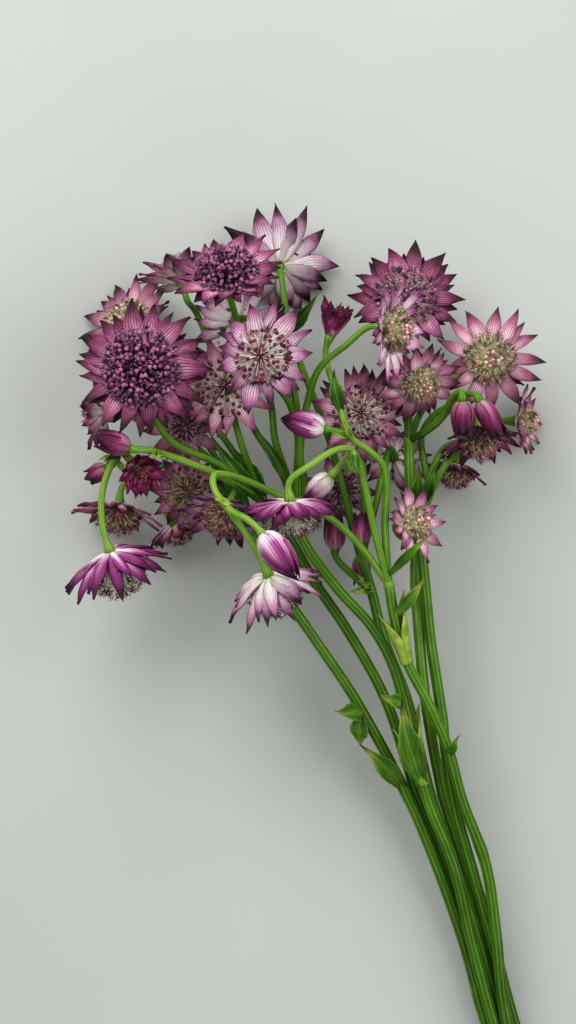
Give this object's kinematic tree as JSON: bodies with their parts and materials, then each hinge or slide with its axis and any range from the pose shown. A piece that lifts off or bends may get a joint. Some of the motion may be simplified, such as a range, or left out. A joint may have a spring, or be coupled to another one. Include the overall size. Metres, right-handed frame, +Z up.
{
  "type": "cut flower bunch",
  "caption": "Cut astrantia bunch lying on its side: long ribbed branching green stems, narrow leaves, starry purple-pink heads of pointed bracts round domes of tiny florets, and closed buds.",
  "frame": {"origin": "middle of the bunch's footprint on the surface that it lies on", "axes": "+Y along the bunch from the cut ends to the flowers, +X across it, +Z up from the surface"},
  "size_m": [0.1828, 0.384, 0.084],
  "materials": {
    "bracts_blush": "matte papery plant tissue",
    "bracts_magenta": "matte papery plant tissue",
    "bracts_maroon": "matte papery plant tissue",
    "bracts_pale": "matte papery plant tissue",
    "bracts_plum": "matte papery plant tissue",
    "bracts_rose": "matte papery plant tissue",
    "bud_blush": "matte papery plant tissue",
    "bud_magenta": "matte papery plant tissue",
    "bud_maroon": "matte papery plant tissue",
    "florets_florets": "matte papery plant tissue",
    "florets_maroon": "matte papery plant tissue",
    "florets_palegreen": "matte papery plant tissue",
    "stem_green": "satin living green stem",
    "stem_pale": "satin living green stem"
  },
  "bodies": {
    "root": {"ruff_a": "bracts_plum", "florets_a": "florets_florets", "ruff_e": "bracts_plum", "florets_e": "florets_florets", "ruff_f": "bracts_rose", "florets_f": "florets_florets", "ruff_g": "bracts_blush", "florets_g": "florets_florets", "ruff_q": "bracts_magenta", "florets_q": "florets_maroon", "ruff_t": "bracts_pale", "florets_t": "florets_florets", "ruff_v": "bracts_magenta", "florets_v": "florets_maroon", "ruff_y": "bracts_plum", "florets_y": "florets_florets", "ruff_z": "bracts_blush", "florets_z": "florets_palegreen", "ruff_aa": "bracts_rose", "florets_aa": "florets_palegreen", "ruff_ab": "bracts_rose", "florets_ab": "florets_palegreen", "ruff_af": "bracts_rose", "florets_af": "florets_florets", "head_b": "bracts_pale", "head_c": "bracts_rose", "head_d": "bracts_rose", "head_i": "bracts_pale", "head_j": "bracts_rose", "head_k": "bracts_rose", "head_o": "bracts_rose", "head_p": "bracts_plum", "head_r": "bracts_blush", "head_s": "bracts_rose", "head_ac": "bracts_rose", "head_ad": "bracts_plum", "head_ae": "bracts_plum", "head_ag": "bracts_rose", "head_ah": "bracts_rose", "head_ai": "bracts_rose", "head_m": "bracts_maroon", "head_x": "bracts_maroon", "bud_h": "bud_magenta", "bud_l": "bud_maroon", "bud_n": "bud_maroon", "bud_u": "bud_blush", "bud_w": "bud_blush", "bud_ad": "bud_maroon", "bud_ae": "bud_maroon", "bud_aj": "bud_maroon", "bud_ak": "bud_maroon", "bud_al": "bud_maroon", "stem_left": "stem_green", "stem_second": "stem_green", "stem_front": "stem_green", "stem_arc": "stem_green", "stem_right": "stem_green", "stem_thin": "stem_pale", "stem_back": "stem_green"}
  },
  "joints": []
}
